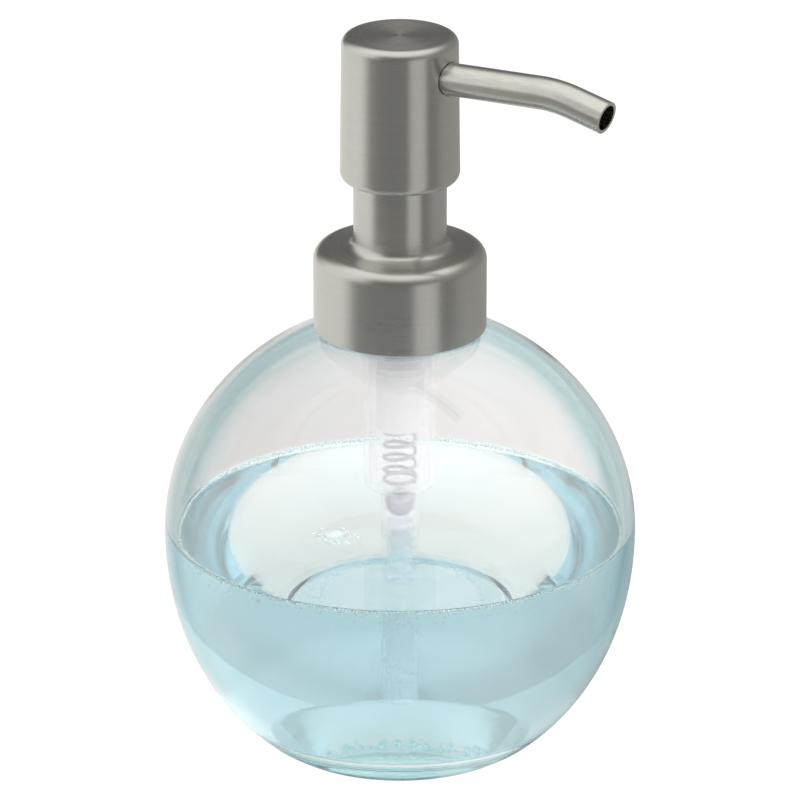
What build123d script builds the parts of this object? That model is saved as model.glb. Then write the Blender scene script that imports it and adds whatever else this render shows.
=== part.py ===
from build123d import *
import math
import os

# Round glass soap dispenser with a brushed steel lotion pump.
# Millimetres, +Z up. The origin is the centre of the bottle's foot, on the surface it stands on,
# and the spout points along +X. Nearly every piece is turned about Z, so most sizes below are
# radii and heights above the foot.

# Bottle: two half ovals that meet at the equator
BOTTLE_RADIUS = 51.0
EQUATOR_HEIGHT = 47.85
UPPER_SEMI_AXIS = 48.46
UPPER_POWER = 1.973
LOWER_SEMI_AXIS = 56.67
LOWER_POWER = 2.096
GLASS_WALL = 2.6
FOOT_RADIUS = 27.6
FOOT_RING_WIDTH = 2.6
HEEL_TOP = 2.4
HEEL_BULGE = (1.75, 0.95)
PUNT_DEPTH = 2.0
PUNT_SLOPE_WIDTH = 4.0
PUNT_SLOPE_DROP = 0.3
FLOOR_HEIGHT = 6.4
FLOOR_RADIUS = 22.0
FLOOR_DOME = 0.6
FLOOR_BEND_RISE = 2.6
FLOOR_BEND_BULGE = (8.2, 0.9)

# Neck finish of the bottle
NECK_RADIUS = 14.85
NECK_BORE = 12.8
NECK_ROOT_HEIGHT = 94.1
NECK_BLEND_DROP = 1.6
NECK_BLEND_RISE = 2.2
NECK_BLEND_BULGE = (0.5, 0.4)
RIM_HEIGHT = 106.5
RIM_CHAMFER = 0.5
THREAD_PITCH = 4.23
THREAD_TURNS = 1.25
THREAD_RADIUS = 16.05
THREAD_START = 98.9
THREAD_ROOT_WIDTH = 2.2
THREAD_CREST_WIDTH = 1.2
THREAD_SINK = 0.3

# Soap
SOAP_LEVEL = 48.45
SOAP_CLEARANCE = 0.25
SOAP_BEND_RISE = 3.6
SOAP_BEND_BULGE = (7.6, 1.1)

# Steel collar shell with its raised neck tube
SHEET = 0.58
COLLAR_RADIUS = 18.5
COLLAR_BOTTOM = 94.65
COLLAR_TOP = 112.65
COLLAR_ROUNDING = 2.8
NECK_TUBE_RADIUS = 9.94
NECK_TUBE_TOP = 131.5
NECK_TUBE_FILLET = 2.0

# Screw cap inside the shell
CAP_RADIUS = 17.9
CAP_BOTTOM = 95.3
CAP_TOP = 111.95
CAP_BORE = 16.4
CAP_ROOF = 109.3
CAP_HOLE = 8.3
CAP_THREAD_RADIUS = 15.2
CAP_THREAD_DROP = 1.95
CAP_THREAD_ROOT_WIDTH = 1.2
CAP_THREAD_CREST_WIDTH = 0.8

# Gasket between the rim and the pump cylinder's flange
GASKET_INNER = 12.9
GASKET_OUTER = 14.7
GASKET_TOP = 107.7

# Pump cylinder
CYLINDER_RADIUS = 7.9
CYLINDER_BORE = 6.7
CYLINDER_BOTTOM = 57.0
CYLINDER_FLOOR = 57.8
CYLINDER_ROUNDING = 2.5
FLANGE_RADIUS = 14.6
FLANGE_TOP = 109.2
VENT_RADIUS = 0.6
VENT_HEIGHT = 98.0
TAIL_RADIUS = 4.15
TAIL_BOTTOM = 41.5

# Suction valve in the tail
BALL_RADIUS = 3.175
BALL_HEIGHT = 53.5
BALL_CHAMBER = 3.5
SEAT_CLEARANCE = 0.15
SUCTION_PASSAGE = 2.0
RETAINER_RADIUS = 5.1
RETAINER_THICKNESS = 0.5
RETAINER_CENTRE_HOLE = 0.9
RETAINER_PORTS = 6
RETAINER_PORT_RADIUS = 0.9
RETAINER_PORT_CIRCLE = 3.2

# Dip tube
DIP_TUBE_RADIUS = 2.85
DIP_TUBE_BORE = 2.15
DIP_TUBE_TOP = 49.0
DIP_TUBE_BOTTOM = 17.0

# Return spring
SPRING_RADIUS = 3.4
WIRE_RADIUS = 0.4
SPRING_PITCH = 3.0
SPRING_GAP = 0.08

# Poppet under the piston, a cup that sits over the spring
CUP_RADIUS = 5.0
CUP_BORE = 4.2
CUP_BOTTOM = 70.9
CUP_ROOF = 83.6
POPPET_SHOULDER = 85.2
POPPET_NOSE = 86.4
POPPET_NOSE_RADIUS = 3.4
POPPET_PEG_TOP = 88.6

# Stem
STEM_RADIUS = 3.5
STEM_BORE = 1.9
STEM_TOP = 146.4
STEM_NECK_RADIUS = 3.0
STEM_SHOULDER_RADIUS = 4.6
STEM_SHOULDER_BOTTOM = 91.6
STEM_SHOULDER_TOP = 93.0
STEM_PORT_RADIUS = 0.7
STEM_PORT_HEIGHT = 89.4

# Piston
PISTON_RADIUS = 6.65
PISTON_SKIRT_INNER = 5.7
PISTON_BOTTOM = 84.4
PISTON_TOP = 92.4
PISTON_HUB_RADIUS = 4.5
PISTON_GALLERY = 3.5
PISTON_WEB_BOTTOM = 88.8
PISTON_WEB_TOP = 90.3
SEAL_LIP_HEIGHT = 1.2
SEAL_LIP_RELIEF = 0.35
PISTON_GUIDE_LENGTH = 0.5

# Stem guide that closes the cylinder
GUIDE_SLEEVE_RADIUS = 5.2
GUIDE_SLEEVE_BOTTOM = 93.2
GUIDE_PLUG_BOTTOM = 104.0
GUIDE_FLANGE_RADIUS = 7.9
GUIDE_FLANGE_TOP = 110.6
GUIDE_CHIMNEY_RADIUS = 5.4
GUIDE_TOP = 118.2
WIPER_RADIUS = 4.6
WIPER_BOTTOM = 116.5
WIPER_TOP = 117.9

# Head
HEAD_TOP_RADIUS = 12.35
HEAD_BOTTOM_RADIUS = 12.77
HEAD_TOP = 159.75
HEAD_BOTTOM = 127.75
HEAD_TOP_ROUNDING = 1.9
HEAD_BOTTOM_ROUNDING = 2.0
HEAD_MOUTH = 10.4

# Actuator core pressed into the head
CORE_RADIUS = 11.7
CORE_RING_INNER = 10.4
CORE_TOP = 158.9
CORE_ROOF = 157.3
CORE_RING_BOTTOM = 145.0
CORE_RIB_BOTTOM = 147.0
CORE_RIBS = 6
CORE_RIB_THICKNESS = 1.2
CORE_RIB_OVERLAP = 0.5
CORE_ROUNDING = 1.4
HUB_RADIUS = 5.6
HUB_BOTTOM = 130.5
BOSS_RADIUS = 5.4
BOSS_LENGTH = 11.0

# Spout tube and its seal
SPOUT_RADIUS = 3.5
SPOUT_BORE = 2.75
SPOUT_HEIGHT = 151.65
SPOUT_RISE = 3.0
SPOUT_START = 4.2
SPOUT_CORNER = 38.6
SPOUT_BEND_RADIUS = 30.0
SPOUT_DROOP = 13.0
SPOUT_TIP_LENGTH = 12.4
SPOUT_HOLE = 3.72
SEAL_PLACE = 8.6
SEAL_RING_RADIUS = 0.72
SEAL_GROOVE_WIDTH = 1.9
SEAL_GROOVE_RADIUS = 5.05

# Fits
RUNNING_FIT = 0.05
PRESS_FIT = 0.02

# Broken edges and fillets of the moulded and drawn pieces
CRISP_EDGE = 0.15
SMALL_EDGE = 0.2
SOFT_EDGE = 0.3
PEG_EDGE = 0.4
FLANGE_FILLET = 0.5
GUIDE_FILLET = 0.6
ROOT_FILLET = 0.8
CYLINDER_FLOOR_FILLET = 1.3


def turned(*corners):
    """Solid of revolution about Z. A corner is (radius, height) or (radius, height, rounding)."""
    points = [corner[:2] for corner in corners]
    roundings = [corner[2] if len(corner) > 2 else 0 for corner in corners]
    outline = Plane.XZ * FilletPolyline(*points, radius=roundings, close=True)
    return revolve(make_face(outline), Axis.Z)


def tube(outer, inner, bottom, top):
    """Plain round tube about Z."""
    return turned((inner, bottom), (outer, bottom), (outer, top), (inner, top))


def oval_radius(height, inset):
    """Radius of the bottle's oval at a height, drawn in by the inset on every side."""
    upper = height >= EQUATOR_HEIGHT
    semi_axis = (UPPER_SEMI_AXIS if upper else LOWER_SEMI_AXIS) - inset
    power = UPPER_POWER if upper else LOWER_POWER
    share = abs(height - EQUATOR_HEIGHT) / semi_axis
    return (BOTTLE_RADIUS - inset) * (1 - share**power) ** (1 / power)


def oval_curve(bottom, top, inset):
    """Smooth curve up the bottle's wall, with closer points towards the ends."""
    steps = 14
    middle = (bottom + top) / 2
    half = (top - bottom) / 2
    heights = [middle - half * math.cos(math.pi * step / steps) for step in range(steps + 1)]
    return Plane.XZ * Spline(*[(oval_radius(height, inset), height) for height in heights])


def arc(start, middle, end):
    """One arc through three (radius, height) points."""
    return (Plane.XZ * ThreePointArc(start, middle, end)).edge()


def pillar(radius, bottom, top):
    """Solid round bar about Z between two heights."""
    centred = (Align.CENTER, Align.CENTER, Align.MIN)
    return Pos(0, 0, bottom) * Cylinder(radius, top - bottom, align=centred)


def solid_from(edges):
    """Solid of revolution about Z from the edges of one closed outline."""
    return revolve(make_face(edges), Axis.Z)


def section_line(*points):
    """Straight edges through (radius, height) points."""
    return (Plane.XZ * Polyline(*points)).edges()


def thread(radius, root_width, crest_radius, crest_width, start, turns):
    """Helical ridge that stands on a cylinder of the given radius, outwards or inwards."""
    path = Helix(THREAD_PITCH, THREAD_PITCH * turns, radius, center=(0, 0, start))
    section_plane = Plane(origin=path @ 0, x_dir=(1, 0, 0), z_dir=path % 0)
    depth = crest_radius - radius
    buried_width = root_width + THREAD_SINK * (root_width - crest_width)
    ridge = Polyline(
        (-depth * THREAD_SINK, -buried_width / 2),
        (depth, -crest_width / 2),
        (depth, crest_width / 2),
        (-depth * THREAD_SINK, buried_width / 2),
        close=True,
    )
    return sweep(section_plane * make_face(ridge), path=path, is_frenet=True)


def spout_plane(distance):
    """Plane across the spout's rising run, at a distance from the pump's axis."""
    rise = math.radians(SPOUT_RISE)
    origin = (distance * math.cos(rise), 0, SPOUT_HEIGHT + distance * math.sin(rise))
    return Plane(origin=origin, x_dir=(0, 1, 0), z_dir=(math.cos(rise), 0, math.sin(rise)))


def spout_rod(radius, start, end):
    """Round bar along the spout's rising run."""
    return extrude(spout_plane(start) * Circle(radius), end - start)


def bottle():
    """Blown glass bottle: oval wall, recessed foot and threaded neck."""
    blend_start = NECK_ROOT_HEIGHT - NECK_BLEND_DROP
    blend_end = NECK_ROOT_HEIGHT + NECK_BLEND_RISE
    shoulder = (oval_radius(blend_start, 0), blend_start)
    shoulder_middle = (NECK_RADIUS + NECK_BLEND_BULGE[0], NECK_ROOT_HEIGHT + NECK_BLEND_BULGE[1])
    bore_share = NECK_BORE / (BOTTLE_RADIUS - GLASS_WALL)
    bore_rise = (1 - bore_share**UPPER_POWER) ** (1 / UPPER_POWER)
    bore_root = EQUATOR_HEIGHT + (UPPER_SEMI_AXIS - GLASS_WALL) * bore_rise
    punt_edge = FOOT_RADIUS - FOOT_RING_WIDTH
    punt_slope = (punt_edge - PUNT_SLOPE_WIDTH, PUNT_DEPTH - PUNT_SLOPE_DROP)
    heel = (oval_radius(HEEL_TOP, 0), HEEL_TOP)
    heel_middle = (FOOT_RADIUS + HEEL_BULGE[0], HEEL_BULGE[1])
    bend_start = FLOOR_HEIGHT + FLOOR_BEND_RISE
    inside_heel = (oval_radius(bend_start, GLASS_WALL), bend_start)
    floor_edge = (FLOOR_RADIUS, FLOOR_HEIGHT)
    floor_middle = (FLOOR_RADIUS + FLOOR_BEND_BULGE[0], FLOOR_HEIGHT + FLOOR_BEND_BULGE[1])
    edges = [
        *section_line((0, PUNT_DEPTH), punt_slope, (punt_edge, 0), (FOOT_RADIUS, 0)),
        arc((FOOT_RADIUS, 0), heel_middle, heel),
        oval_curve(HEEL_TOP, blend_start, 0).edge(),
        arc(shoulder, shoulder_middle, (NECK_RADIUS, blend_end)),
        *section_line(
            (NECK_RADIUS, blend_end),
            (NECK_RADIUS, RIM_HEIGHT - RIM_CHAMFER),
            (NECK_RADIUS - RIM_CHAMFER, RIM_HEIGHT),
            (NECK_BORE, RIM_HEIGHT),
            (NECK_BORE, bore_root),
        ),
        oval_curve(bend_start, bore_root, GLASS_WALL).edge(),
        arc(inside_heel, floor_middle, floor_edge),
        *section_line(floor_edge, (0, FLOOR_HEIGHT + FLOOR_DOME), (0, PUNT_DEPTH)),
    ]
    bead = thread(
        NECK_RADIUS, THREAD_ROOT_WIDTH, THREAD_RADIUS, THREAD_CREST_WIDTH, THREAD_START, THREAD_TURNS
    )
    return solid_from(edges) + bead


def liquid_soap():
    """The soap that fills the bottle, a hair clear of the glass and of the pump's tail."""
    inset = GLASS_WALL + SOAP_CLEARANCE
    floor = FLOOR_HEIGHT + SOAP_CLEARANCE
    bend_start = FLOOR_HEIGHT + SOAP_BEND_RISE
    bend_middle = (FLOOR_RADIUS + SOAP_BEND_BULGE[0], floor + SOAP_BEND_BULGE[1])
    top_edge = (oval_radius(SOAP_LEVEL, inset), SOAP_LEVEL)
    floor_edge = (FLOOR_RADIUS, floor)
    edges = [
        oval_curve(bend_start, SOAP_LEVEL, inset).edge(),
        *section_line(top_edge, (0, SOAP_LEVEL), (0, floor + FLOOR_DOME), floor_edge),
        arc(floor_edge, bend_middle, (oval_radius(bend_start, inset), bend_start)),
    ]
    above = SOAP_LEVEL + SOAP_CLEARANCE
    tail_hole = pillar(TAIL_RADIUS + SOAP_CLEARANCE, TAIL_BOTTOM - SOAP_CLEARANCE, above)
    tube_hole = pillar(DIP_TUBE_RADIUS + SOAP_CLEARANCE, DIP_TUBE_BOTTOM - SOAP_CLEARANCE, above)
    return solid_from(edges) - tail_hole - tube_hole


def collar_shell():
    """Drawn steel cover: collar skirt, flat top and raised neck tube in one sheet."""
    inner = COLLAR_RADIUS - SHEET
    bore = NECK_TUBE_RADIUS - SHEET
    return turned(
        (inner, COLLAR_BOTTOM),
        (COLLAR_RADIUS, COLLAR_BOTTOM),
        (COLLAR_RADIUS, COLLAR_TOP, COLLAR_ROUNDING),
        (NECK_TUBE_RADIUS, COLLAR_TOP, NECK_TUBE_FILLET),
        (NECK_TUBE_RADIUS, NECK_TUBE_TOP, SMALL_EDGE),
        (bore, NECK_TUBE_TOP, SMALL_EDGE),
        (bore, COLLAR_TOP - SHEET, NECK_TUBE_FILLET + SHEET),
        (inner, COLLAR_TOP - SHEET, COLLAR_ROUNDING - SHEET),
    )


def screw_cap():
    """Threaded plastic closure pressed into the steel shell."""
    body = turned(
        (CAP_BORE, CAP_BOTTOM),
        (CAP_RADIUS, CAP_BOTTOM, SOFT_EDGE),
        (CAP_RADIUS, CAP_TOP, COLLAR_ROUNDING - SHEET),
        (CAP_HOLE, CAP_TOP),
        (CAP_HOLE, CAP_ROOF),
        (CAP_BORE, CAP_ROOF, ROOT_FILLET),
    )
    start = THREAD_START - CAP_THREAD_DROP
    ridge = thread(
        CAP_BORE, CAP_THREAD_ROOT_WIDTH, CAP_THREAD_RADIUS, CAP_THREAD_CREST_WIDTH, start, THREAD_TURNS
    )
    return body + ridge


def bottle_gasket():
    """Soft washer that seals the rim."""
    return tube(GASKET_OUTER, GASKET_INNER, RIM_HEIGHT, GASKET_TOP)


def pump_cylinder():
    """Pump cylinder with its top flange, vents, suction chamber and dip tube socket."""
    apex = BALL_HEIGHT - (BALL_RADIUS + SEAT_CLEARANCE) * math.sqrt(2)
    body = turned(
        (SUCTION_PASSAGE, DIP_TUBE_TOP),
        (DIP_TUBE_RADIUS + PRESS_FIT, DIP_TUBE_TOP),
        (DIP_TUBE_RADIUS + PRESS_FIT, TAIL_BOTTOM),
        (TAIL_RADIUS, TAIL_BOTTOM, SOFT_EDGE),
        (TAIL_RADIUS, CYLINDER_BOTTOM, ROOT_FILLET),
        (CYLINDER_RADIUS, CYLINDER_BOTTOM, CYLINDER_ROUNDING),
        (CYLINDER_RADIUS, GASKET_TOP, FLANGE_FILLET),
        (FLANGE_RADIUS, GASKET_TOP),
        (FLANGE_RADIUS, FLANGE_TOP, SOFT_EDGE),
        (CYLINDER_BORE, FLANGE_TOP),
        (CYLINDER_BORE, CYLINDER_FLOOR, CYLINDER_FLOOR_FILLET),
        (BALL_CHAMBER, CYLINDER_FLOOR),
        (BALL_CHAMBER, apex + BALL_CHAMBER),
        (SUCTION_PASSAGE, apex + SUCTION_PASSAGE),
    )
    vents = Pos(0, 0, VENT_HEIGHT) * Rot(90, 0, 0) * Cylinder(VENT_RADIUS, 4 * CYLINDER_RADIUS)
    return body - vents


def suction_ball():
    """Ball that closes the suction passage."""
    return Pos(0, 0, BALL_HEIGHT) * Sphere(BALL_RADIUS)


def ball_retainer():
    """Pierced disc that keeps the ball down and seats the spring."""
    top = CYLINDER_FLOOR + RETAINER_THICKNESS
    disc = tube(RETAINER_RADIUS, RETAINER_CENTRE_HOLE, CYLINDER_FLOOR, top)
    port = Cylinder(RETAINER_PORT_RADIUS, 4 * RETAINER_THICKNESS)
    ports = Pos(0, 0, CYLINDER_FLOOR) * PolarLocations(RETAINER_PORT_CIRCLE, RETAINER_PORTS)
    return disc - [place * port for place in ports]


def dip_tube():
    """Tube from the pump's tail to the bottom of the soap."""
    return tube(DIP_TUBE_RADIUS, DIP_TUBE_BORE, DIP_TUBE_BOTTOM, DIP_TUBE_TOP)


def return_spring():
    """Open coil spring between the ball retainer and the poppet's roof."""
    bottom = CYLINDER_FLOOR + RETAINER_THICKNESS + WIRE_RADIUS + SPRING_GAP
    length = CUP_ROOF - WIRE_RADIUS - SPRING_GAP - bottom
    coil = Helix(SPRING_PITCH, length, SPRING_RADIUS, center=(0, 0, bottom))
    wire = Plane(origin=coil @ 0, z_dir=coil % 0) * Circle(WIRE_RADIUS)
    return sweep(wire, path=coil, is_frenet=True)


def poppet():
    """Discharge valve: a cup over the spring, a conical seat and a peg into the stem."""
    return turned(
        (0, CUP_ROOF),
        (CUP_BORE, CUP_ROOF),
        (CUP_BORE, CUP_BOTTOM),
        (CUP_RADIUS, CUP_BOTTOM, SMALL_EDGE),
        (CUP_RADIUS, POPPET_SHOULDER),
        (POPPET_NOSE_RADIUS, POPPET_NOSE),
        (STEM_BORE - PRESS_FIT, POPPET_NOSE),
        (STEM_BORE - PRESS_FIT, POPPET_PEG_TOP, PEG_EDGE),
        (0, POPPET_PEG_TOP),
    )


def stem():
    """Hollow stem: it carries the soap from the piston's ports up to the head."""
    body = turned(
        (STEM_BORE, POPPET_NOSE),
        (STEM_NECK_RADIUS, POPPET_NOSE),
        (STEM_NECK_RADIUS, STEM_SHOULDER_BOTTOM),
        (STEM_SHOULDER_RADIUS, STEM_SHOULDER_BOTTOM),
        (STEM_SHOULDER_RADIUS, STEM_SHOULDER_TOP),
        (STEM_RADIUS, STEM_SHOULDER_TOP),
        (STEM_RADIUS, STEM_TOP, SOFT_EDGE),
        (STEM_BORE, STEM_TOP),
    )
    drill = Rot(90, 0, 0) * Cylinder(STEM_PORT_RADIUS, 4 * STEM_RADIUS)
    ports = [Pos(0, 0, STEM_PORT_HEIGHT) * Rot(0, 0, turn) * drill for turn in (0, 90)]
    return body - ports


def piston():
    """Sliding piston with a lip at each end. It lifts off the poppet as the stem goes down."""
    slope = (POPPET_NOSE - POPPET_SHOULDER) / (CUP_RADIUS - POPPET_NOSE_RADIUS)
    seat_inner = POPPET_NOSE - slope * (PISTON_GALLERY - POPPET_NOSE_RADIUS) + SEAT_CLEARANCE
    seat_outer = POPPET_NOSE - slope * (PISTON_HUB_RADIUS - POPPET_NOSE_RADIUS) + SEAT_CLEARANCE
    waist = PISTON_RADIUS - SEAL_LIP_RELIEF
    guide_bore = STEM_NECK_RADIUS + RUNNING_FIT
    return turned(
        (PISTON_GALLERY, seat_inner),
        (PISTON_HUB_RADIUS, seat_outer),
        (PISTON_HUB_RADIUS, PISTON_WEB_BOTTOM),
        (PISTON_SKIRT_INNER, PISTON_WEB_BOTTOM),
        (PISTON_SKIRT_INNER, PISTON_BOTTOM),
        (PISTON_RADIUS, PISTON_BOTTOM),
        (PISTON_RADIUS, PISTON_BOTTOM + SEAL_LIP_HEIGHT),
        (waist, PISTON_BOTTOM + 2 * SEAL_LIP_HEIGHT),
        (waist, PISTON_TOP - 2 * SEAL_LIP_HEIGHT),
        (PISTON_RADIUS, PISTON_TOP - SEAL_LIP_HEIGHT),
        (PISTON_RADIUS, PISTON_TOP),
        (PISTON_SKIRT_INNER, PISTON_TOP),
        (PISTON_SKIRT_INNER, PISTON_WEB_TOP),
        (guide_bore, PISTON_WEB_TOP),
        (guide_bore, PISTON_WEB_TOP - PISTON_GUIDE_LENGTH),
        (PISTON_GALLERY, PISTON_WEB_TOP - PISTON_GUIDE_LENGTH),
    )


def stem_guide():
    """Guide that plugs the cylinder, stops the stem's shoulder and rises inside the neck tube."""
    bore = STEM_RADIUS + RUNNING_FIT
    return turned(
        (bore, GUIDE_SLEEVE_BOTTOM),
        (GUIDE_SLEEVE_RADIUS, GUIDE_SLEEVE_BOTTOM),
        (GUIDE_SLEEVE_RADIUS, GUIDE_PLUG_BOTTOM),
        (CYLINDER_BORE - PRESS_FIT, GUIDE_PLUG_BOTTOM, SOFT_EDGE),
        (CYLINDER_BORE - PRESS_FIT, FLANGE_TOP),
        (GUIDE_FLANGE_RADIUS, FLANGE_TOP),
        (GUIDE_FLANGE_RADIUS, GUIDE_FLANGE_TOP, SOFT_EDGE),
        (GUIDE_CHIMNEY_RADIUS, GUIDE_FLANGE_TOP, GUIDE_FILLET),
        (GUIDE_CHIMNEY_RADIUS, GUIDE_TOP, SMALL_EDGE),
        (WIPER_RADIUS + PRESS_FIT, GUIDE_TOP),
        (WIPER_RADIUS + PRESS_FIT, WIPER_BOTTOM),
        (bore, WIPER_BOTTOM),
    )


def stem_wiper():
    """Seal ring round the stem in the top of the guide."""
    return tube(WIPER_RADIUS, STEM_RADIUS + RUNNING_FIT, WIPER_BOTTOM, WIPER_TOP)


def head_shell():
    """Drawn steel head with a rounded crown, a turned-in mouth and the spout's hole."""
    crown = HEAD_TOP - SHEET
    rim = HEAD_BOTTOM + SHEET
    shell = turned(
        (0, HEAD_TOP),
        (HEAD_TOP_RADIUS, HEAD_TOP, HEAD_TOP_ROUNDING),
        (HEAD_BOTTOM_RADIUS, HEAD_BOTTOM, HEAD_BOTTOM_ROUNDING),
        (HEAD_MOUTH, HEAD_BOTTOM, CRISP_EDGE),
        (HEAD_MOUTH, rim, CRISP_EDGE),
        (HEAD_BOTTOM_RADIUS - SHEET, rim, HEAD_BOTTOM_ROUNDING - SHEET),
        (HEAD_TOP_RADIUS - SHEET, crown, HEAD_TOP_ROUNDING - SHEET),
        (0, crown),
    )
    return shell - spout_rod(SPOUT_HOLE, BOSS_LENGTH, HEAD_BOTTOM_RADIUS + SPOUT_RADIUS)


def actuator_core():
    """Ribbed plastic core: it holds the stem and the spout, and turns the soap into the spout."""
    ring = tube(CORE_RADIUS, CORE_RING_INNER, CORE_RING_BOTTOM, CORE_ROOF)
    rim = (CORE_RADIUS, CORE_TOP, CORE_ROUNDING)
    roof = turned((0, CORE_ROOF), (CORE_RADIUS, CORE_ROOF), rim, (0, CORE_TOP))
    foot = (HUB_RADIUS, HUB_BOTTOM, PEG_EDGE)
    hub = turned((0, HUB_BOTTOM), foot, (HUB_RADIUS, CORE_ROOF), (0, CORE_ROOF))
    rib_length = CORE_RING_INNER - HUB_RADIUS + 2 * CORE_RIB_OVERLAP
    rib = Box(
        rib_length, CORE_RIB_THICKNESS, CORE_ROOF - CORE_RIB_BOTTOM,
        align=(Align.MIN, Align.CENTER, Align.MIN),
    )
    rib_start = Pos(HUB_RADIUS - CORE_RIB_OVERLAP, 0, CORE_RIB_BOTTOM)
    turns = [360 / CORE_RIBS * (number + 0.5) for number in range(CORE_RIBS)]
    spokes = [Rot(0, 0, turn) * rib_start * rib for turn in turns]
    envelope = pillar(CORE_RADIUS, CORE_RING_BOTTOM, CORE_TOP)
    boss = spout_rod(BOSS_RADIUS, 0, BOSS_LENGTH) & envelope
    socket_top = STEM_TOP + RUNNING_FIT
    stem_socket = pillar(STEM_RADIUS + PRESS_FIT, HUB_BOTTOM, socket_top)
    riser = pillar(STEM_BORE, socket_top, SPOUT_HEIGHT)
    spout_socket = spout_rod(SPOUT_RADIUS + PRESS_FIT, SPOUT_START - RUNNING_FIT, 2 * CORE_RADIUS)
    passage = spout_rod(STEM_BORE, 0, SPOUT_START)
    groove_start = SEAL_PLACE - SEAL_GROOVE_WIDTH / 2
    groove = spout_rod(SEAL_GROOVE_RADIUS, groove_start, groove_start + SEAL_GROOVE_WIDTH)
    solid = ring + roof + hub + spokes + boss
    return solid - stem_socket - riser - spout_socket - passage - groove


def spout():
    """Bent steel tube, cut square at its open tip."""
    rise = math.radians(SPOUT_RISE)
    droop = math.radians(SPOUT_DROOP)
    start = spout_plane(SPOUT_START).origin
    corner = spout_plane(SPOUT_CORNER).origin
    tip = corner + Vector(math.cos(droop), 0, -math.sin(droop)) * SPOUT_TIP_LENGTH
    path = FilletPolyline(start, corner, tip, radius=SPOUT_BEND_RADIUS)
    outside = sweep(spout_plane(SPOUT_START) * Circle(SPOUT_RADIUS), path=path)
    inside = sweep(spout_plane(SPOUT_START) * Circle(SPOUT_BORE), path=path)
    return outside - inside


def spout_seal_ring():
    """O-ring between the spout and the core."""
    ring = Torus(SPOUT_RADIUS + PRESS_FIT + SEAL_RING_RADIUS, SEAL_RING_RADIUS)
    return spout_plane(SEAL_PLACE).location * ring


def write_parts():
    """Write one STEP file per piece."""
    os.makedirs("parts", exist_ok=True)
    pieces = [
        bottle, liquid_soap, collar_shell, screw_cap, bottle_gasket, pump_cylinder, suction_ball,
        ball_retainer, dip_tube, return_spring, poppet, stem, piston, stem_guide, stem_wiper,
        head_shell, actuator_core, spout, spout_seal_ring,
    ]
    for piece in pieces:
        export_step(piece(), f"parts/{piece.__name__}.step")


write_parts()
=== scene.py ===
import logging
import math
import random
from collections.abc import Callable, Sequence
from dataclasses import dataclass, field
from enum import Enum

import bmesh
import bpy
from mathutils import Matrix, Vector


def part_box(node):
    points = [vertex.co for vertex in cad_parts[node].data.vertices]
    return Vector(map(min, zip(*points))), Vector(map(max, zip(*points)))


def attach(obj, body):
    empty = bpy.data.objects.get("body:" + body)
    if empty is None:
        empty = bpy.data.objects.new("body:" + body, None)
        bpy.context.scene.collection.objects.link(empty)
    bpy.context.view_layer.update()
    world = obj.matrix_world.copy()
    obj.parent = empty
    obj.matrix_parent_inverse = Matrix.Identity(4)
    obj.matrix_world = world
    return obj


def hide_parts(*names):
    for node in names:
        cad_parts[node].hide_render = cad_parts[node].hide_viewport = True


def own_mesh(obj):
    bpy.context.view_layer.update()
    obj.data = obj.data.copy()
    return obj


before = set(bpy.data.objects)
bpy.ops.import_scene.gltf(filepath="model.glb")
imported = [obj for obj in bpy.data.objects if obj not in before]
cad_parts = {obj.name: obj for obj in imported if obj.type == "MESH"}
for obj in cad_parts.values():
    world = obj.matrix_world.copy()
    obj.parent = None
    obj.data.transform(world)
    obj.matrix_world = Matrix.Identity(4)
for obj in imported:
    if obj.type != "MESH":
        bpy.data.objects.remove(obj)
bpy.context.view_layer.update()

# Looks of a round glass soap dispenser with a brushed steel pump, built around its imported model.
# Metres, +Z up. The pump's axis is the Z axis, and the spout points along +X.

LOG = logging.getLogger("soap_dispenser")
MM = 0.001
SEED = 7

Colour = tuple[float, float, float]
Point = tuple[float, float]


class Body(Enum):
    """The moving groups of the dispenser."""

    BOTTLE = "bottle"
    INSERT = "pump_insert"


class Slot(Enum):
    """The record's material slots, passed with new pieces but not used."""

    GLASS = "bottle_glass"
    SOAP = "soap"
    SPRING = "spring_wire"


# ---------------------------------------------------------------------------------------------
# Shader nodes


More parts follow.
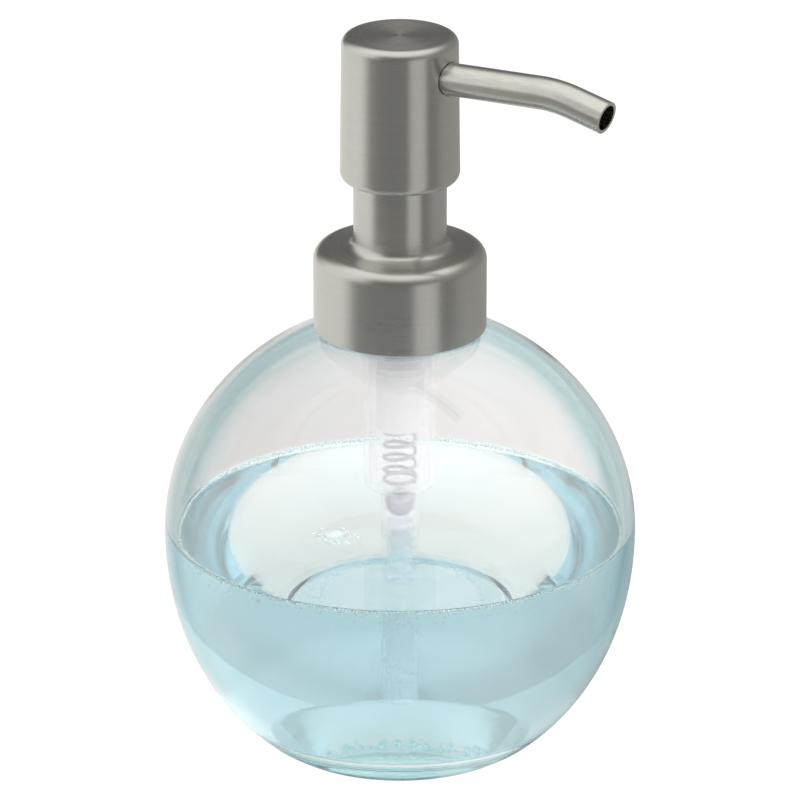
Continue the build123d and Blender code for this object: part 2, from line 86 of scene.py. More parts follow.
class Shader:
    """A material with its node tree, its main shader and short ways to add nodes."""

    def __init__(self, name: str) -> None:
        """Start an empty material.

        Args:
            name: The material's name.
        """
        self.material = bpy.data.materials.new(name)
        self.material.use_nodes = True
        self.nodes = self.material.node_tree.nodes
        self.links = self.material.node_tree.links
        self.main = self.nodes["Principled BSDF"]
        self.output = self.nodes["Material Output"]

    def add(self, kind: str, **settings: object) -> bpy.types.Node:
        """Add a node.

        Args:
            kind: The node's type without its "ShaderNode" prefix.
            settings: Values for the node's own properties.

        Returns:
            The new node.
        """
        node = self.nodes.new("ShaderNode" + kind)
        for key, value in settings.items():
            setattr(node, key, value)
        return node

    def join(self, source: bpy.types.NodeSocket, target: bpy.types.NodeSocket) -> None:
        """Link an output to an input."""
        self.links.new(source, target)

    def set(self, **values: object) -> None:
        """Set plain values on the main shader; underscores in names stand for spaces."""
        for key, value in values.items():
            self.main.inputs[key.replace("_", " ")].default_value = value

    def math(self, operation: str, *inputs: object) -> bpy.types.NodeSocket:
        """Add a math node.

        Args:
            operation: The node's operation.
            inputs: Sockets or numbers for its inputs, in order.

        Returns:
            The node's result.
        """
        node = self.add("Math", operation=operation)
        for number, value in enumerate(inputs):
            if isinstance(value, bpy.types.NodeSocket):
                self.join(value, node.inputs[number])
            else:
                node.inputs[number].default_value = value
        return node.outputs[0]

    def noise(self, vector: bpy.types.NodeSocket, scale: float, detail: float = 2.0) -> bpy.types.NodeSocket:
        """Add a noise texture.

        Args:
            vector: Where it is read.
            scale: Its scale.
            detail: Its octaves.

        Returns:
            The grey value, 0 to 1.
        """
        node = self.add("TexNoise")
        node.inputs["Scale"].default_value = scale
        node.inputs["Detail"].default_value = detail
        self.join(vector, node.inputs["Vector"])
        return node.outputs["Fac"]

    def remap(self, value: bpy.types.NodeSocket, low: float, high: float) -> bpy.types.NodeSocket:
        """Stretch a 0 to 1 value to the given range.

        Args:
            value: The grey value.
            low: What 0 becomes.
            high: What 1 becomes.

        Returns:
            The stretched value.
        """
        node = self.add("MapRange")
        self.join(value, node.inputs["Value"])
        node.inputs["To Min"].default_value = low
        node.inputs["To Max"].default_value = high
        return node.outputs["Result"]

    def step(self, value: bpy.types.NodeSocket, start: float, end: float) -> bpy.types.NodeSocket:
        """Rise softly from 0 to 1.

        Args:
            value: What it follows.
            start: Where the rise starts.
            end: Where it ends.

        Returns:
            The share, 0 to 1.
        """
        node = self.add("MapRange", interpolation_type="SMOOTHSTEP")
        self.join(value, node.inputs["Value"])
        node.inputs["From Min"].default_value = start
        node.inputs["From Max"].default_value = end
        return node.outputs["Result"]

    def blend(self, share: bpy.types.NodeSocket, first: object, second: object) -> bpy.types.NodeSocket:
        """Blend two colours.

        Args:
            share: How much of the second shows, 0 to 1.
            first: A colour or a socket.
            second: A colour or a socket.

        Returns:
            The blended colour.
        """
        node = self.add("Mix", data_type="RGBA")
        self.join(share, node.inputs[0])
        for socket, value in ((node.inputs[6], first), (node.inputs[7], second)):
            if isinstance(value, bpy.types.NodeSocket):
                self.join(value, socket)
            else:
                socket.default_value = value
        return node.outputs[2]

    def bump(self, height: bpy.types.NodeSocket, strength: float, distance: float) -> None:
        """Give the main shader a bump.

        Args:
            height: The height value.
            strength: The bump's strength.
            distance: The height's size in metres.
        """
        node = self.add("Bump")
        node.inputs["Strength"].default_value = strength
        node.inputs["Distance"].default_value = distance
        self.join(height, node.inputs["Height"])
        self.join(node.outputs["Normal"], self.main.inputs["Normal"])

    def paint(
        self, share: bpy.types.NodeSocket, dark: Colour, light: Colour, span: Point = (0.0, 1.0)
    ) -> None:
        """Colour the main shader between two tones.

        Args:
            share: What the tone follows, 0 to 1.
            dark: The tone at the span's start.
            light: The tone at the span's end.
            span: Where the change starts and ends.
        """
        node = self.add("ValToRGB")
        for element, position, colour in zip(node.color_ramp.elements, span, (dark, light)):
            element.position, element.color = position, (*colour, 1)
        self.join(share, node.inputs["Fac"])
        self.join(node.outputs["Color"], self.main.inputs["Base Color"])

    def gloss(self, share: bpy.types.NodeSocket, low: float, high: float) -> None:
        """Vary the main shader's roughness between two values."""
        self.join(self.remap(share, low, high), self.main.inputs["Roughness"])

    def place(self) -> bpy.types.NodeSocket:
        """Return the point's own coordinates."""
        return self.add("TexCoord").outputs["Object"]

    def radius(self) -> bpy.types.NodeSocket:
        """Return the point's distance from the Z axis."""
        split = self.add("SeparateXYZ")
        self.join(self.place(), split.inputs[0])
        x, y, _ = split.outputs
        return self.math("SQRT", self.math("ADD", self.math("MULTIPLY", x, x), self.math("MULTIPLY", y, y)))

    def ring_place(self, across: float, along: float) -> bpy.types.NodeSocket:
        """Coordinates that change fast across turning marks and slowly along them.

        Args:
            across: How fast they change with radius and height, per metre.
            along: How fast they change round the axis, per metre.

        Returns:
            The coordinates.
        """
        split = self.add("SeparateXYZ")
        self.join(self.place(), split.inputs[0])
        x, y, z = split.outputs
        across_both = self.math("MULTIPLY", self.math("ADD", self.radius(), z), across)
        merge = self.add("CombineXYZ")
        self.join(across_both, merge.inputs[0])
        self.join(self.math("MULTIPLY", x, along), merge.inputs[1])
        self.join(self.math("MULTIPLY", y, along), merge.inputs[2])
        return merge.outputs[0]


# ---------------------------------------------------------------------------------------------
# Finishes


@dataclass(frozen=True)
class TurnedSteel:
    """Stainless steel brushed round the pump's axis."""

    name: str = "turned_steel"
    colour: Colour = (0.62, 0.615, 0.585)
    roughness: float = 0.28
    anisotropy: float = 0.75
    groove_rate: float = 9000.0
    drift_rate: float = 60.0
    groove_depth: float = 0.000004

    def material(self) -> bpy.types.Material:
        """Return the steel: fine turning marks in its tone, gloss and relief, and an even sheen."""
        shader = Shader(self.name)
        place = shader.ring_place(self.groove_rate, self.drift_rate)
        grooves = shader.noise(place, 1.0, 4.0)
        wide = shader.noise(shader.ring_place(self.groove_rate * 0.12, self.drift_rate), 1.0, 2.0)
        both = shader.math("ADD", shader.math("MULTIPLY", grooves, 0.6), shader.math("MULTIPLY", wide, 0.4))
        shader.paint(both, shaded(self.colour, 0.93), shaded(self.colour, 1.05), (0.25, 0.75))
        shader.gloss(wide, self.roughness - 0.03, self.roughness + 0.04)
        shader.set(Metallic=1.0, Anisotropic=self.anisotropy, Anisotropic_Rotation=0.25)
        tangent = shader.add("Tangent", direction_type="RADIAL", axis="Z")
        shader.join(tangent.outputs["Tangent"], shader.main.inputs["Tangent"])
        shader.bump(grooves, 0.35, self.groove_depth)
        return shader.material


@dataclass(frozen=True)
class TubeSteel:
    """Stainless tube, finely brushed, with faint marks along its length."""

    name: str = "tube_steel"
    colour: Colour = (0.64, 0.635, 0.60)
    roughness: float = 0.24
    scratch_rate: float = 2600.0

    def material(self) -> bpy.types.Material:
        """Return the tube's steel."""
        shader = Shader(self.name)
        split = shader.add("Mapping")
        split.inputs["Scale"].default_value = (0.12, 1.0, 1.0)
        shader.join(shader.place(), split.inputs["Vector"])
        scratches = shader.noise(split.outputs["Vector"], self.scratch_rate, 3.0)
        cloud = shader.noise(shader.place(), 220.0, 3.0)
        shader.paint(scratches, shaded(self.colour, 0.92), shaded(self.colour, 1.05), (0.3, 0.7))
        shader.gloss(cloud, self.roughness - 0.05, self.roughness + 0.07)
        shader.set(Metallic=1.0)
        shader.bump(scratches, 0.2, 0.000002)
        return shader.material


@dataclass(frozen=True)
class ClearGlass:
    """Blown soda glass, nearly colourless, blue-green and darkened by painted shade where it is seen along
    its skin.
    """

    name: str = "clear_glass"
    face_tint: Colour = (0.965, 0.952, 0.957)
    side_tint_and_shade: Colour = (0.70, 0.86, 0.865)
    skin_tint_and_shade: Colour = (0.24, 0.45, 0.49)
    rim_tint_and_shade: Colour = (0.55, 0.74, 0.77)
    base_tint: Colour = (0.985, 0.98, 0.98)
    clear_below: float = 0.016
    tinted_above: float = 0.045
    edge_tint: Colour = (0.55, 0.88, 0.87)
    edge_density: float = 9.0
    ripple_rate: float = 38.0

    def material(self) -> bpy.types.Material:
        """Return the glass."""
        shader = Shader(self.name)
        shader.set(Roughness=0.0, IOR=1.5, Transmission_Weight=1.0)
        # The tint follows how edge-on the glass is seen: partly its own blue-green, partly painted shade of
        # its edges.
        facing = shader.add("LayerWeight")
        ramp = shader.add("ValToRGB")
        shader.join(facing.outputs["Facing"], ramp.inputs["Fac"])
        stops = (
            (0.47, self.face_tint), (0.61, self.side_tint_and_shade), (0.72, self.skin_tint_and_shade), (0.88, self.rim_tint_and_shade),
        )
        first, last = ramp.color_ramp.elements
        first.position, first.color = stops[0][0], (*stops[0][1], 1)
        last.position, last.color = stops[-1][0], (*stops[-1][1], 1)
        for position, tint in stops[1:-1]:
            ramp.color_ramp.elements.new(position).color = (*tint, 1)
        split = shader.add("SeparateXYZ")
        shader.join(shader.place(), split.inputs[0])
        above = shader.step(split.outputs[2], self.clear_below, self.tinted_above)
        colour = shader.blend(above, (*self.base_tint, 1), ramp.outputs["Color"])
        shader.join(colour, shader.main.inputs["Base Color"])
        absorption = shader.add("VolumeAbsorption")
        absorption.inputs["Color"].default_value = (*self.edge_tint, 1)
        absorption.inputs["Density"].default_value = self.edge_density
        shader.join(absorption.outputs["Volume"], shader.output.inputs["Volume"])
        ripple = shader.noise(shader.place(), self.ripple_rate, 1.0)
        shader.bump(ripple, 0.08, 0.0012)
        return shader.material


@dataclass(frozen=True)
class SoapLiquid:
    """Pale teal soap."""

    name: str = "soap_liquid"
    haze: Colour = (0.85, 0.95, 0.97)
    clearness: float = 0.93
    tint: Colour = (0.10, 0.54, 0.65)
    density: float = 8.2
    index: float = 1.34

    def material(self) -> bpy.types.Material:
        """Return the liquid."""
        shader = Shader(self.name)
        shader.set(Base_Color=(*self.haze, 1), Roughness=0.0)
        shader.set(IOR=self.index, Transmission_Weight=self.clearness)
        absorption = shader.add("VolumeAbsorption")
        absorption.inputs["Color"].default_value = (*self.tint, 1)
        absorption.inputs["Density"].default_value = self.density
        shader.join(absorption.outputs["Volume"], shader.output.inputs["Volume"])
        ripple = shader.noise(shader.place(), 120.0, 2.0)
        shader.bump(ripple, 0.05, 0.0006)
        return shader.material


@dataclass(frozen=True)
class BubbleFilm:
    """The thin, glistening skin of soap bubbles."""

    name: str = "bubble_film"
    tint: Colour = (0.94, 1.0, 0.985)
    clearness: float = 0.68
    index: float = 1.33

    def material(self) -> bpy.types.Material:
        """Return the skin."""
        shader = Shader(self.name)
        shader.set(Base_Color=(*self.tint, 1), IOR=self.index, Transmission_Weight=self.clearness)
        haze = shader.noise(shader.place(), 900.0, 2.0)
        shader.gloss(haze, 0.0, 0.06)
        return shader.material


@dataclass(frozen=True)
class MilkyPlastic:
    """Unpigmented polypropylene, milky and half clear."""

    name: str = "milky_plastic"
    colour: Colour = (0.90, 0.91, 0.93)
    cover: float = 0.24
    roughness: float = 0.30

    def material(self) -> bpy.types.Material:
        """Return the plastic."""
        shader = Shader(self.name)
        cloud = shader.noise(shader.place(), 260.0, 3.0)
        shader.paint(cloud, shaded(self.colour, 0.97), self.colour)
        shader.gloss(cloud, self.roughness - 0.05, self.roughness + 0.08)
        shader.join(shader.remap(cloud, self.cover - 0.03, self.cover + 0.03), shader.main.inputs["Alpha"])
        shader.set(IOR=1.49)
        shader.bump(cloud, 0.1, 0.00002)
        return shader.material


@dataclass(frozen=True)
class SettledFroth:
    """Very fine bubbles that lie on the bottle's floor, thickest in a ring near its edge."""

    name: str = "settled_froth"
    colour: Colour = (0.90, 0.985, 0.955)
    cover: float = 0.16
    ring_cover: float = 0.16
    ring_start: float = 0.0165
    ring_end: float = 0.0185

    def material(self) -> bpy.types.Material:
        """Return the froth."""
        shader = Shader(self.name)
        specks = shader.noise(shader.place(), 1500.0, 3.0)
        cloud = shader.noise(shader.place(), 160.0, 3.0)
        shader.paint(specks, shaded(self.colour, 0.86), self.colour, (0.35, 0.65))
        ring = shader.step(shader.radius(), self.ring_start, self.ring_end)
        patchy = shader.remap(shader.math("MULTIPLY", shader.math("ADD", specks, cloud), 0.5), 0.4, 1.6)
        cover = shader.math("ADD", shader.math("MULTIPLY", ring, self.ring_cover), self.cover)
        shader.join(shader.math("MULTIPLY", cover, patchy), shader.main.inputs["Alpha"])
        shader.set(Roughness=0.6, Specular_IOR_Level=0.1)
        return shader.material


@dataclass(frozen=True)
class MouldedPlastic:
    """Opaque moulded plastic with a fine spark-eroded grain."""

    name: str
    colour: Colour
    roughness: float = 0.42

    def material(self) -> bpy.types.Material:
        """Return the plastic."""
        shader = Shader(self.name)
        grain = shader.noise(shader.place(), 1800.0, 3.0)
        cloud = shader.noise(shader.place(), 140.0, 2.0)
        shader.paint(cloud, shaded(self.colour, 0.95), self.colour)
        shader.gloss(grain, self.roughness - 0.05, self.roughness + 0.08)
        shader.bump(grain, 0.25, 0.00002)
        return shader.material


@dataclass(frozen=True)
class BrightMetal:
    """Polished metal of the ball and the spring's drawn wire."""

    name: str
    colour: Colour
    roughness: float

    def material(self) -> bpy.types.Material:
        """Return the metal."""
        shader = Shader(self.name)
        marks = shader.noise(shader.place(), 3000.0, 3.0)
        shader.paint(marks, shaded(self.colour, 0.9), self.colour)
        shader.gloss(marks, self.roughness * 0.8, self.roughness * 1.3)
        shader.set(Metallic=1.0)
        shader.bump(marks, 0.15, 0.000003)
        return shader.material


# ---------------------------------------------------------------------------------------------
# Meshes


@dataclass(frozen=True)
class Corner:
    """A corner of a turned outline: radius, height, and the radius that rounds it."""

    radius: float
    height: float
    rounding: float = 0.0


def shaded(colour: Colour, share: float) -> Colour:
    """Return a colour made darker or lighter, no channel over 1."""
    return tuple(min(1.0, channel * share) for channel in colour)


def rounded(corners: Sequence[Corner], steps: int = 6) -> list[Point]:
    """Round the corners of an open or closed outline.

    Args:
        corners: The outline's corners, in order; the first and last stay sharp.
        steps: How many pieces each rounding has.

    Returns:
        The outline's points.
    """
    points: list[Point] = []
    for number, corner in enumerate(corners):
        here = Vector((corner.radius, corner.height))
        if corner.rounding == 0.0:
            points.append((here.x, here.y))
            continue
        before, after = corners[number - 1], corners[(number + 1) % len(corners)]
        inward = (Vector((before.radius, before.height)) - here).normalized()
        outward = (Vector((after.radius, after.height)) - here).normalized()
        half = inward.angle(outward) / 2
        reach = corner.rounding / math.tan(half)
        centre = here + (inward + outward).normalized() * (corner.rounding / math.sin(half))
        start, end = here + inward * reach - centre, here + outward * reach - centre
        turn = start.angle_signed(end)
        for step in range(steps + 1):
            angle = -turn * step / steps
            spun = Vector((start.x * math.cos(angle) - start.y * math.sin(angle),
                           start.x * math.sin(angle) + start.y * math.cos(angle)))
            points.append((centre.x + spun.x, centre.y + spun.y))
    return points


def finished(name: str, body: bmesh.types.BMesh, sharp_angle: float = 35.0) -> bpy.types.Object:
    """Turn built geometry into a smooth-shaded object.

    Args:
        name: The object's name.
        body: The geometry, which is used up.
        sharp_angle: Edges that turn by more than this many degrees stay crisp.

    Returns:
        The object, linked to the scene.
    """
    bmesh.ops.remove_doubles(body, verts=body.verts, dist=1e-7)
    bmesh.ops.recalc_face_normals(body, faces=body.faces)
    mesh = bpy.data.meshes.new(name)
    body.to_mesh(mesh)
    body.free()
    for polygon in mesh.polygons:
        polygon.use_smooth = True
    mesh.set_sharp_from_angle(angle=math.radians(sharp_angle))
    thing = bpy.data.objects.new(name, mesh)
    bpy.context.scene.collection.objects.link(thing)
    return thing


def turned(
    name: str,
    outline: Sequence[Point],
    segments: int = 192,
    closed: bool = True,
    swell: Callable[[float, float, float], float] | None = None,
) -> bpy.types.Object:
    """Turn an outline about the Z axis.

    Args:
        name: The object's name.
        outline: (radius, height) points in order.
        segments: How many steps round the axis.
        closed: Whether the outline's end joins its start.
        swell: Extra radius at (radius, height, angle), if the surface isn't quite round.

    Returns:
        The turned object.
    """
    body = bmesh.new()
    rings: list[list[bmesh.types.BMVert]] = []
    for radius, height in outline:
        if radius < 1e-7:
            rings.append([body.verts.new((0, 0, height))])
            continue
        ring = []
        for step in range(segments):
            angle = 2 * math.pi * step / segments
            reach = radius + (swell(radius, height, angle) if swell else 0.0)
            ring.append(body.verts.new((reach * math.cos(angle), reach * math.sin(angle), height)))
        rings.append(ring)
    pairs = list(zip(rings, rings[1:]))
    if closed:
        pairs.append((rings[-1], rings[0]))
    for low, high in pairs:
        for step in range(segments):
            after = (step + 1) % segments
            if len(low) == 1 and len(high) == 1:
                break
            if len(low) == 1:
                body.faces.new((low[0], high[after], high[step]))
            elif len(high) == 1:
                body.faces.new((low[step], low[after], high[0]))
            else:
                body.faces.new((low[step], low[after], high[after], high[step]))
    return finished(name, body)


def swept(
    path: Sequence[Vector], section: Sequence[Point]
) -> tuple[bmesh.types.BMesh, list[list[bmesh.types.BMVert]]]:
    """Carry a closed section along a path that is never upright.

    Args:
        path: The path's points.
        section: The section's points.

    Returns:
        The geometry, open at its ends, and its rings of points.
    """
    body = bmesh.new()
    rings = []
    for number, point in enumerate(path):
        ahead = path[min(number + 1, len(path) - 1)]
        behind = path[max(number - 1, 0)]
        forward = (ahead - behind).normalized()
        side = forward.cross(Vector((0, 0, 1))).normalized()
        up = side.cross(forward)
        rings.append([body.verts.new(point + side * across + up * rise) for across, rise in section])
    count = len(rings[0])
    for low, high in zip(rings, rings[1:]):
        for step in range(count):
            after = (step + 1) % count
            body.faces.new((low[step], low[after], high[after], high[step]))
    return body, rings


@dataclass(frozen=True)
class Bead:
    """A bubble: where it is, its radius and how flat it lies."""

    spot: Vector
    radius: float
    flatness: float


def beaded(name: str, beads: Sequence[Bead], subdivisions: int = 2) -> bpy.types.Object:
    """Build a group of small bubbles as one object.

    Args:
        name: The object's name.
        beads: The bubbles.
        subdivisions: How finely each is divided.

    Returns:
        The group.
    """
    ball = bmesh.new()
    bmesh.ops.create_icosphere(ball, subdivisions=subdivisions, radius=1.0)
    corners = [vertex.co.copy() for vertex in ball.verts]
    sides = [[vertex.index for vertex in face.verts] for face in ball.faces]
    ball.free()
    points, faces = [], []
    for bead in beads:
        start = len(points)
        size = Vector((bead.radius, bead.radius, bead.radius * bead.flatness))
        points.extend(bead.spot + corner * size for corner in corners)
        faces.extend([start + index for index in side] for side in sides)
    mesh = bpy.data.meshes.new(name)
    mesh.from_pydata(points, [], faces)
    mesh.shade_smooth()
    thing = bpy.data.objects.new(name, mesh)
    bpy.context.scene.collection.objects.link(thing)
    return thing


# ---------------------------------------------------------------------------------------------
# Pieces


def circle(radius: float, count: int) -> list[Point]:
    """Return the points of a circle."""
    return [
        (radius * math.cos(2 * math.pi * step / count), radius * math.sin(2 * math.pi * step / count))
        for step in range(count)
    ]


def dress(thing: bpy.types.Object, material: bpy.types.Material) -> None:
    """Give a piece one material in all of its slots."""
    thing.data.materials.clear()
    thing.data.materials.append(material)


def settle(thing: bpy.types.Object, body: Body, slot: Slot, *nodes: str) -> None:
    """Fasten a new piece to its moving group and hide the CAD nodes that it stands for.

    Args:
        thing: The piece.
        body: The group that it moves with.
        slot: The record's slot for its finish; not used.
        nodes: The CAD nodes that it stands for.
    """
    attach(thing, body.value)
    if nodes:
        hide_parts(*nodes)


@dataclass
class GlassBottle:
    """The bottle, its soap and the bubbles in the soap's edge."""

    equator: float = 47.85 * MM
    upper_axis: float = 48.46 * MM
    upper_power: float = 1.973
    lower_axis: float = 56.67 * MM
    lower_power: float = 2.096
    wall: float = 2.6 * MM
    foot_radius: float = 27.6 * MM
    foot_width: float = 2.6 * MM
    heel_top: float = 2.4 * MM
    punt: float = 2.0 * MM
    floor: float = 6.4 * MM
    floor_radius: float = 22.0 * MM
    neck_radius: float = 14.85 * MM
    neck_bore: float = 12.8 * MM
    neck_root: float = 94.1 * MM
    thread_pitch: float = 4.23 * MM
    thread_start: float = 98.9 * MM
    thread_turns: float = 1.25
    thread_height: float = 1.2 * MM
    overlap: float = 0.04 * MM
    bend_height: float = 2.6 * MM
    dome_rise: float = 0.6 * MM
    meniscus_rise: float = 1.1 * MM
    meniscus_width: float = 2.2 * MM
    rim_beads: int = 400
    hanging_beads: int = 420
    floor_beads: int = 200
    bend_beads: int = 130
    foam_beads: int = 26
    foam_spot: Point = (-7.9 * MM, -13.5 * MM)
    radius: float = field(init=False)
    rim: float = field(init=False)
    soap_level: float = field(init=False)

    def __post_init__(self) -> None:
        """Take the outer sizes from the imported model."""
        low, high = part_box("bottle")
        self.radius = (high.y - low.y) / 2
        self.rim = high.z
        self.soap_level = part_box("liquid_soap")[1].z

    def oval(self, height: float, inset: float) -> float:
        """Radius of the bottle's wall.

        Args:
            height: Height above the foot.
            inset: How far inside the outer surface.

        Returns:
            The radius there.
        """
        upper = height >= self.equator
        semi_axis = (self.upper_axis if upper else self.lower_axis) - inset
        power = self.upper_power if upper else self.lower_power
        share = min(1.0, abs(height - self.equator) / semi_axis)
        return (self.radius - inset) * (1 - share**power) ** (1 / power)

    def wall_curve(self, bottom: float, top: float, inset: float, steps: int = 60) -> list[Point]:
        """Points up the wall, closer together towards the ends.

        Args:
            bottom: Where they start.
            top: Where they end.
            inset: How far inside the outer surface.
            steps: How many steps.

        Returns:
            The points.
        """
        middle, half = (bottom + top) / 2, (top - bottom) / 2
        heights = [middle - half * math.cos(math.pi * step / steps) for step in range(steps + 1)]
        return [(self.oval(height, inset), height) for height in heights]

    def inner_floor(self, inset: float) -> list[Point]:
        """The inside from the wall down to the middle of the floor.

        Args:
            inset: Extra distance into the glass.

        Returns:
            The points from the wall to the axis.
        """
        start = self.floor + self.bend_height
        outer = Vector((self.oval(start, self.wall - inset), start))
        inner = Vector((self.floor_radius, self.floor - inset))
        pull = Vector((self.floor_radius + 7.4 * MM, self.floor - inset + 0.1 * MM))
        bend = []
        for step in range(17):
            share = step / 16
            point = outer * (1 - share) ** 2 + pull * 2 * share * (1 - share) + inner * share**2
            bend.append((point.x, point.y))
        dome = []
        for step in range(1, 9):
            rise = self.dome_rise * math.sin(step / 8 * math.pi / 2)
            dome.append((self.floor_radius * (1 - step / 8), self.floor - inset + rise))
        return bend + dome

    def bore_root(self) -> float:
        """Height where the inner wall meets the neck's bore."""
        across = self.neck_bore / (self.radius - self.wall)
        share = (1 - across**self.upper_power) ** (1 / self.upper_power)
        return self.equator + (self.upper_axis - self.wall) * share

    def thread(self, radius: float, height: float, angle: float) -> float:
        """Extra radius of the neck's helical bead."""
        if radius < self.neck_radius - 0.05 * MM or height < self.neck_root + 2.0 * MM:
            return 0.0
        extra = 0.0
        for turn in range(3):
            along = angle / (2 * math.pi) + turn
            if along > self.thread_turns:
                continue
            middle = self.thread_start + self.thread_pitch * along
            off = abs(height - middle) / (1.1 * MM)
            ends = min(1.0, along / 0.06, (self.thread_turns - along) / 0.06)
            if off < 1.0:
                extra = max(extra, self.thread_height * math.cos(off * math.pi / 2) ** 0.7 * max(0.0, ends))
        return extra

    def build_glass(self) -> bpy.types.Object:
        """Build the glass with its threaded neck.

        Returns:
            The bottle.
        """
        edge = self.foot_radius - self.foot_width
        under = [
            (0.0, self.punt), (edge * 0.5, self.punt - 0.1 * MM), (edge - 1.6 * MM, self.punt - 0.3 * MM),
        ]
        foot = rounded([
            Corner(edge - 1.6 * MM, self.punt - 0.3 * MM),
            Corner(edge, 0.0, 1.0 * MM),
            Corner(self.foot_radius + 0.6 * MM, 0.0, 1.6 * MM),
            Corner(self.oval(self.heel_top, 0), self.heel_top),
        ])[1:-1]
        outside = self.wall_curve(self.heel_top, self.neck_root - 1.6 * MM, 0, 96)
        shoulder = Vector(outside[-1])
        root = Vector((self.neck_radius, self.neck_root + 2.2 * MM))
        pull = Vector((self.neck_radius, self.neck_root - 0.2 * MM))
        fillet = []
        for step in range(1, 9):
            share = step / 8
            point = shoulder * (1 - share) ** 2 + pull * 2 * share * (1 - share) + root * share**2
            fillet.append((point.x, point.y))
        neck_steps = 48
        neck_top = self.rim - 0.8 * MM
        neck = [
            (self.neck_radius, root.y + (neck_top - root.y) * step / neck_steps)
            for step in range(1, neck_steps + 1)
        ]
        rim = rounded([
            Corner(self.neck_radius, neck_top),
            Corner(self.neck_radius, self.rim, 0.7 * MM),
            Corner(self.neck_bore, self.rim, 0.7 * MM),
            Corner(self.neck_bore, self.bore_root()),
        ])[1:]
        inside = self.wall_curve(self.floor + self.bend_height, self.bore_root(), self.wall, 96)
        inside = list(reversed(inside))[1:-1]
        outline = under + foot + outside + fillet + neck + rim + inside + self.inner_floor(0.0)
        glass = turned("bottle_glass", outline, segments=256, closed=False, swell=self.thread)
        dress(glass, ClearGlass().material())
        settle(glass, Body.BOTTLE, Slot.GLASS, "bottle")
        return glass

    def build_soap(self) -> bpy.types.Object:
        """Build the soap, whose edge climbs the glass a little.

        Returns:
            The soap.
        """
        brim = self.soap_level + self.meniscus_rise
        start = self.floor + self.bend_height
        wall = self.wall_curve(start, brim, self.wall - self.overlap, 72)
        edge = wall[-1][0]
        surface = []
        for step in range(1, 25):
            share = step / 24
            drop = self.meniscus_rise * (1 - (1 - share) ** 3)
            surface.append((edge - self.meniscus_width * share, brim - drop))
        middle = [(surface[-1][0] * (1 - step / 12), self.soap_level) for step in range(1, 13)]
        floor = list(reversed(self.inner_floor(self.overlap)))
        outline = floor + wall[1:] + surface + middle
        soap = turned("liquid_soap_fill", outline, segments=256, closed=False)
        dress(soap, SoapLiquid("soap_body").material())
        settle(soap, Body.BOTTLE, Slot.SOAP, "liquid_soap")
        return soap

    def build_froth(self) -> bpy.types.Object:
        """Build the film of fine bubbles that lies just above the flat of the glass floor.

        Returns:
            The froth.
        """
        lift, thickness = 0.10 * MM, 0.12 * MM
        under = self.inner_floor(-lift)[16:]
        over = [(radius, height + thickness) for radius, height in reversed(under)]
        edge = (self.floor_radius + thickness, self.floor + lift + thickness / 2)
        froth = turned("settled_froth", [edge, *under, *over], segments=160, closed=True)
        dress(froth, SettledFroth().material())
        settle(froth, Body.BOTTLE, Slot.SOAP)
        return froth

    def bead(self, radius: float, spot: Vector, flatness: float = 1.0) -> Bead:
        """Return one bubble with a little seeded wobble in its height."""
        return Bead(spot, radius, flatness * random.uniform(0.86, 1.0))

    def rim_ring(self) -> list[Bead]:
        """Return the chain of beads along the soap's edge, and smaller ones that hang below it."""
        beads = []
        for number in range(self.rim_beads + self.hanging_beads):
            if number < self.rim_beads:
                angle = 2 * math.pi * (number + random.uniform(-0.25, 0.25)) / self.rim_beads
                radius = random.uniform(0.30, 0.46) * MM
                rise = random.uniform(0.35, 0.70) * MM
            else:
                angle = 2 * math.pi * random.random()
                radius = random.uniform(0.12, 0.28) * MM
                rise = (0.2 - 2.6 * random.random() ** 2) * MM
            height = self.soap_level + rise
            reach = self.oval(height, self.wall) - radius * 1.05
            spot = Vector((reach * math.cos(angle), reach * math.sin(angle), height))
            beads.append(self.bead(radius, spot))
        return beads

    def floor_ring(self) -> list[Bead]:
        """Return the small beads that cling to the floor's edge, and larger ones on the bend outside it."""
        beads = []
        for number in range(self.floor_beads + self.bend_beads):
            angle = 2 * math.pi * random.random()
            bend = number >= self.floor_beads
            radius = (random.uniform(0.20, 0.50) if bend else random.uniform(0.12, 0.28)) * MM
            reach = self.floor_radius + random.gauss(0.0, 0.35) * MM
            if bend or number % 2:
                reach = self.floor_radius - random.gauss(3.9, 0.4 if number % 2 else 1.6) * MM
            height = self.floor + radius + 0.4 * MM
            spot = Vector((reach * math.cos(angle), reach * math.sin(angle), height))
            beads.append(self.bead(radius, spot))
        return beads

    def foam(self) -> list[Bead]:
        """Return the little patch of foam that floats on the soap."""
        beads = [self.bead(2.5 * MM, Vector((*self.foam_spot, self.soap_level)), 0.35)]
        for _ in range(self.foam_beads):
            angle, reach = 2 * math.pi * random.random(), random.uniform(2.7, 5.4) * MM
            radius = random.uniform(0.22, 0.60) * MM
            x = self.foam_spot[0] + reach * math.cos(angle)
            y = self.foam_spot[1] + reach * math.sin(angle) * 0.8
            beads.append(self.bead(radius, Vector((x, y, self.soap_level)), 0.6))
        return beads

    def build_bubbles(self) -> list[bpy.types.Object]:
        """Build the bubbles of the soap.

        Returns:
            The groups of bubbles.
        """
        film = BubbleFilm().material()
        groups = {
            "rim_bubbles": self.rim_ring(),
            "floor_bubbles": self.floor_ring(),
            "surface_foam": self.foam(),
        }
        built = []
        for name, beads in groups.items():
            thing = beaded(name, beads)
            dress(thing, film)
            settle(thing, Body.BOTTLE, Slot.SOAP)
            built.append(thing)
        return built


